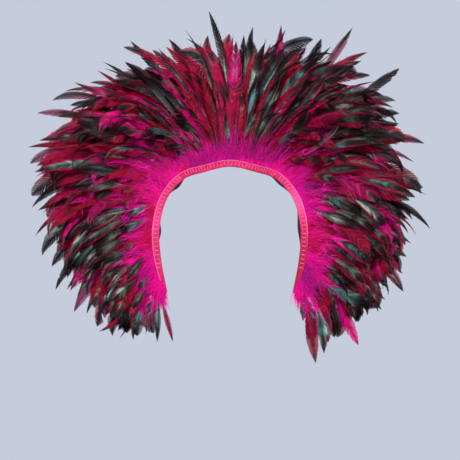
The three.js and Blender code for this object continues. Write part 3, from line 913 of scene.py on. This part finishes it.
def layVanes(stock, plume, path, rng):
    # each vane is two rows of barbs that sweep to the tip, parted here and there and looser at the foot
    def each(key):
        return plume[key][:, None, None, None, None]
    many, barbs = len(plume["k"]), growth["barbs"]
    across = np.array(growth["across"])
    sign = np.array([1, -1])[None, :, None, None, None]
    edge = np.array([0, 1])[:, None]
    barb = np.arange(barbs)[None, None, :, None, None]
    near, far = (1 - (1 - (barb + end) / barbs) ** growth["closer"] for end in (0, 1))  # finer to the tip
    middle = (near + far) / 2
    pinch = 1 - (growth["tight"] + growth["loose"] * (1 - middle) ** 2) * across**2
    t = middle + (edge - 0.5) * pinch * (far - near)
    size = (many, 2, barbs)
    partings = np.cumsum(rng.random(size) < growth["parted"], 2)
    lean = np.take_along_axis(rng.normal(0, growth["partSpread"], (many, 2, barbs + 1)), partings, 2)
    freely = np.minimum(plume["spare"] + growth["partLeast"], 1)[:, None, None]
    lean = 1 + np.clip(lean, *growth["partLean"]) * freely
    rag = 1 + rng.normal(0, growth["rag"], size) - growth["tornOff"] * (rng.random(size) < growth["torn"])
    half = vaneHalf(middle, each("widest"), each("soft"), each("point"))
    half = each("half") * half * rag[..., None, None]
    lateral = half * across
    swept = lateral * across ** growth["barbBend"] * growth["barbSlope"]
    forward = swept * lean[..., None, None] / each("length")
    foot = each("vaneFrom")
    root = foot + (growth["vaneEnds"] - foot) * t
    room = 1 - root
    u = root + room * (1 - np.exp(-forward / room))  # barbs near the tip close up to a point
    stacked = growth["partHigh"] * (partings % 3)[..., None, None] * across
    high = stacked - each("camber") * half * across**2
    points = sampleAlong(path["quill"], u)
    points = points + sampleAlong(path["side"], u) * (sign * lateral)[..., None]
    points = points + sampleAlong(path["up"], u) * high[..., None]
    index = np.arange(u.size).reshape(u.shape)
    quads = np.stack([index[..., 0, :-1], index[..., 0, 1:], index[..., 1, 1:], index[..., 1, :-1]], -1)
    quads[:, 1] = quads[:, 1, ..., ::-1]
    cellV = 0.5 + 0.5 * sign * (0.03 + 0.97 * across)
    own = {key: plume[key] for key in ("seed", "foot", *dyeColumns)}
    along = foot + (1 - foot) * (near + edge * (far - near))
    stock.lay("vane", points, [quads], t, cellV, along=along, across=across[None], **own)


def layQuills(stock, plume, path):
    many, steps = len(plume["k"]), growth["quillSteps"]
    u = np.broadcast_to(np.linspace(0, growth["vaneEnds"], steps + 1), (many, steps + 1))
    wide, thin = growth["quillWide"]
    radius = (wide + (thin - wide) * u)[..., None]
    around = np.array([[-1, -0.15], [0, 0.75], [1, -0.15]])
    middle, side, up = (sampleAlong(path[key], u)[:, :, None] for key in ("quill", "side", "up"))
    points = middle + side * (around[:, 0] * radius)[..., None]
    points = points + up * (around[:, 1] * radius + 0.15)[..., None]
    index = np.arange(points[..., 0].size).reshape(points.shape[:3])
    turned = np.roll(index, -1, 2)
    quads = np.stack([index[:, :-1], index[:, 1:], turned[:, 1:], turned[:, :-1]], -1)
    stock.lay("quill", points, [quads], u[..., None], np.array([0, 0.5, 1]), along=u[..., None])


# fluff: soft strands on the quills, along the ribbon's outer edge and over its lower ends

fluffBeds = {
    "places": (0, 0.9, 1.8, 2.6, 3.5, 4.4, 5.2, 6),
    "wide": (0.8, 0.9, 1.4, 1.2, 1.0, 1.0, 1.35, 1.2),
    "wider": [(-2.7, 0.5, 0.6), (-1.2, 0.4, 0.3), (1.6, 0.5, 0.35), (5.2, 0.3, 0.2)],
    # the fluff is more purple by the neck: painted shade behind the neck
    "neckPlaces": (1.2, 2.2), "neckPaintedShade": (0.2, 0),
    "tints": [
        (-3.05, 0.25, 0.2), (-4.4, 0.3, 0.3), (-5.1, 0.25, -0.2), (3.0, 0.3, -0.25),
        (3.9, 0.2, 0.2), (4.6, 0.35, 0.4), (5.4, 0.5, -0.25), (-5.5, 0.4, -0.15),
    ],
    "brush": {
        "perPlace": 420, "out": (-1.8, 3), "high": (3, 5.4), "lift": (2, 18), "long": (9, 44),
        "turn": 14, "tufts": (0.45, 1.4), "gather": 34,
    },
    "tuft": {
        "from": 5.6, "many": 420, "out": (-5, 5), "high": (4, 6), "lift": (2, 12), "long": (12, 34),
        "turn": 8, "tufts": (1, 1), "gather": 0,
    },
    "tuftStep": 0.24, "tuftApart": 0.35,
    "toFoot": 0.9, "rootSide": 5, "rootHigh": 1.5, "shorter": 0.25,
    "toneEach": 0.45, "tonePlume": 0.55, "bedTone": (0.38, 0.72), "toneClump": 0.2,
    "spread": (4, 32), "closes": 0.62, "waver": 7, "settles": 0.75, "nods": 5,
    "broad": (0.34, 0.7), "fat": (0.7, 1, 0.72), "lean": 65,
}


def fluffWide(k):  # how far the fluff reaches, for its usual length
    return np.interp(np.abs(k), fluffBeds["places"], fluffBeds["wide"]) + bumpsAlong(k, fluffBeds["wider"])


def fluffTint(k):  # redder or more purple in places, and more purple by the neck as painted shade
    paintedNeckShade = np.interp(np.abs(k), fluffBeds["neckPlaces"], fluffBeds["neckPaintedShade"])
    return bumpsAlong(k, fluffBeds["tints"]) - paintedNeckShade


def longOnes(lengths, size, rng):  # most strands are short, a few are long
    return lengths[0] + (lengths[1] - lengths[0]) * rng.random(size) ** 2


def fluffOnQuills(plume, path, row, rng):
    size = (len(plume["k"]), row["strands"])
    fluffTo = (plume["vaneFrom"] + row["fluffPast"])[:, None]
    root = rng.random(size) ** fluffBeds["toFoot"] * fluffTo
    start, way, side, up = (sampleAlong(path[key], root) for key in ("quill", "way", "side", "up"))
    start = start + side * rng.uniform(-fluffBeds["rootSide"], fluffBeds["rootSide"], size)[..., None]
    start = start + up * rng.uniform(0, fluffBeds["rootHigh"], size)[..., None]
    bed = {"start": start, "way": way, "side": side, "up": up}
    bed = {key: value.reshape(-1, 3) for key, value in bed.items()}
    bed["tilt"] = rng.uniform(*row["fluffLift"], size).ravel()
    long = longOnes(row["fluffLong"], size, rng) * (1 - fluffBeds["shorter"] * root / fluffTo)
    tone = fluffBeds["tonePlume"] * plume["seed"] + fluffTint(plume["k"])
    tone = fluffBeds["toneEach"] * rng.random(size) + tone[:, None]
    return {**bed, "long": long.ravel(), "tone": tone.ravel()}


def tufts(k, lengths):  # how far each strand is from the middle of its tuft, and how long the tuft is
    rng = np.random.default_rng(clumpSeeds["tufts"])
    step = fluffBeds["tuftStep"]
    middles = np.arange(-bandEnd, bandEnd + step, step)
    middles = middles + rng.uniform(-1, 1, len(middles)) * fluffBeds["tuftApart"] * step
    longer = rng.uniform(*lengths, len(middles))
    which = np.abs(k[:, None] - middles).argmin(1)
    return (k - middles[which]) / step, longer[which]


def fluffBed(bed, k, rng):  # strands rooted on the band itself
    many = len(k)
    band = bandAt(k)
    off, longer = tufts(k, bed["tufts"])
    plume = {
        "k": k,
        "turn": band["turn"] - bed["gather"] * off + rng.normal(0, bed["turn"], many),
        "bend": band["droop"],
        "lift": rng.uniform(*bed["lift"], many),
        "hook": np.zeros(many),
        "curl": np.zeros(many),
    }
    way, side, up = (v[:, 0] for v in headings(plume, np.zeros(1)))
    out, high = (rng.uniform(*bed[key], many) for key in ("out", "high"))
    long = longOnes(bed["long"], many, rng) * fluffWide(k) * longer * (1 - off**2)
    tone = rng.uniform(*fluffBeds["bedTone"], many) + fluffBeds["toneClump"] * clumps(k, clumpSeeds["tint"])
    return {
        "start": bandPoint(k, band["ribbon"] + out, high), "way": way, "side": side, "up": up,
        "tilt": np.zeros(many), "long": long, "tone": tone + fluffTint(k),
    }


def fluffByRibbon(start, stop, rng):
    brush, tuft = fluffBeds["brush"], fluffBeds["tuft"]
    beds = [fluffBed(brush, rng.uniform(start, stop, round(brush["perPlace"] * (stop - start))), rng)]
    for sign, end in ((-1, start), (1, stop)):
        if abs(end) == bandEnd:
            beds.append(fluffBed(tuft, sign * rng.uniform(tuft["from"], bandEnd, tuft["many"]), rng))
    return beds


def layFluff(stock, beds, rng):
    # thin strands that leave their root sideways and lie over towards the tip
    bed = {key: np.concatenate([part[key] for part in beds]) for key in beds[0]}
    many = len(bed["long"])
    way, side, up = bed["way"], bed["side"], bed["up"]
    spread = np.radians(rng.uniform(*fluffBeds["spread"], many)) * rng.choice([-1, 1], many)
    tilt = np.radians(bed["tilt"])
    points = [bed["start"]]
    trails = []
    for part in (0, 0.5, 1):
        waver = np.radians(rng.normal(0, fluffBeds["waver"], many))
        out = spread * (1 - fluffBeds["closes"] * part) + waver
        rise = tilt * (1 - fluffBeds["settles"] * part) - np.radians(fluffBeds["nods"] * part)
        trail = way * (np.cos(out) * np.cos(rise))[:, None]
        trail = trail + side * (np.sin(out) * np.cos(rise))[:, None] + up * np.sin(rise)[:, None]
        trails.append(trail)
        points.append(points[-1] + trail * (bed["long"] / 3)[:, None])
    lean = np.radians(rng.uniform(-fluffBeds["lean"], fluffBeds["lean"], many))[:, None]
    flat = unit(np.cross(trails[0], up * np.cos(lean) + side * np.sin(lean)))
    broad = rng.uniform(*fluffBeds["broad"], many)[:, None]
    ring = []
    for middle, fat in zip(points[:3], fluffBeds["fat"]):
        ring += [middle - flat * broad * fat, middle + flat * broad * fat]
    strand = np.stack([*ring, points[3]], 1)
    index = np.arange(strand[..., 0].size).reshape(strand.shape[:2])
    quads = np.concatenate([index[:, [0, 1, 3, 2]], index[:, [2, 3, 5, 4]]])
    cellU = np.array([0, 0, 0.33, 0.33, 0.67, 0.67, 1])
    cellV = np.array([0, 1, 0, 1, 0, 1, 0.5])
    faces = [quads, index[:, [4, 5, 6]]]
    stock.lay("fluff", strand, faces, cellU, cellV, seed=bed["tone"], along=cellU[None])


def layTape(stock, row, start, stop):
    k, run = evenPlaces(start + seamGap, stop - seamGap, growth["tapeStep"])
    distance = np.linspace(*row["tape"], growth["tapeColumns"])
    rings = bandStrip(k, distance, growth["tapeLow"] + growth["tapeThick"], growth["tapeLow"])
    cellU, cellV = (run / run[-1])[:, None], np.linspace(0, 1, rings.shape[1])
    stock.lay("tape", rings[None], closedStrip(rings), cellU, cellV)


def makeLength(rowName, side, start, stop, count, finishes, seed):
    row = rows[rowName]
    rng = np.random.default_rng(seed)
    plume = growLength(rowName, start, stop, count, rng)
    path = quillPaths(rowName, plume)
    stock = Stock()
    layVanes(stock, plume, path, rng)
    layQuills(stock, plume, path)
    beds = [fluffOnQuills(plume, path, row, rng)]
    if rowName == "front":
        beds += fluffByRibbon(start, stop, rng)
    layFluff(stock, beds, rng)
    layTape(stock, row, start, stop)
    piece = stock.piece(rowName + "Feathers_" + side, finishes)
    sew(piece, rowName + "_row_" + side)
    triangles = sum(len(face.vertices) - 2 for face in piece.data.polygons)
    print("%s row %s: %d feathers, %d triangles" % (rowName, side, len(plume["k"]), triangles))


def makeFeathers():
    finishes = [vaneFinish(), quillFinish(), fluffFinish(), tapeFinish()]
    seed = growth["firstSeed"]
    for rowName, row in rows.items():
        lengths = {
            "left": (-bandEnd, -row["seam"], row["onFront"]),
            "neck_left": (-row["seam"], row["nape"], row["onNeck"]),
            "neck_right": (row["nape"], row["seam"], row["onNeck"]),
            "right": (row["seam"], bandEnd, row["onFront"]),
        }
        for side, (start, stop, count) in lengths.items():
            makeLength(rowName, side, start, stop, count, finishes, seed)
            seed += 1


# floor

def floorFinish():
    paint = Finish("paleFloor")
    cloud = paint.noise(paint.objectPlace(), 6, 4)
    return paint.cover({"Base Color": paint.mix(cloud, *stage["floorPaint"]), "Roughness": 0.7})


def layFloor():
    sides = stage["floorSides"]
    turn = np.arange(sides) * 2 * np.pi / sides
    ring = np.stack([np.cos(turn), np.sin(turn)], 1) * stage["floorRadius"]
    mesh = bpy.data.meshes.new("floor")
    mesh.from_pydata([(x, y, stage["floorBelow"]) for x, y in ring], [], [list(range(sides))])
    mesh.materials.append(floorFinish())
    inScene("floor", mesh)
    print("floor is laid")


layFloor()
makeFelt()
ribbonFinishes = [ribbonFinish(), threadFinish()]
makeRibbon("left", -bandEnd, -shoulderSeam - seamGap, ribbonFinishes)
makeRibbon("neck", -shoulderSeam + seamGap, shoulderSeam - seamGap, ribbonFinishes)
makeRibbon("right", shoulderSeam + seamGap, bandEnd, ribbonFinishes)
makeFeathers()
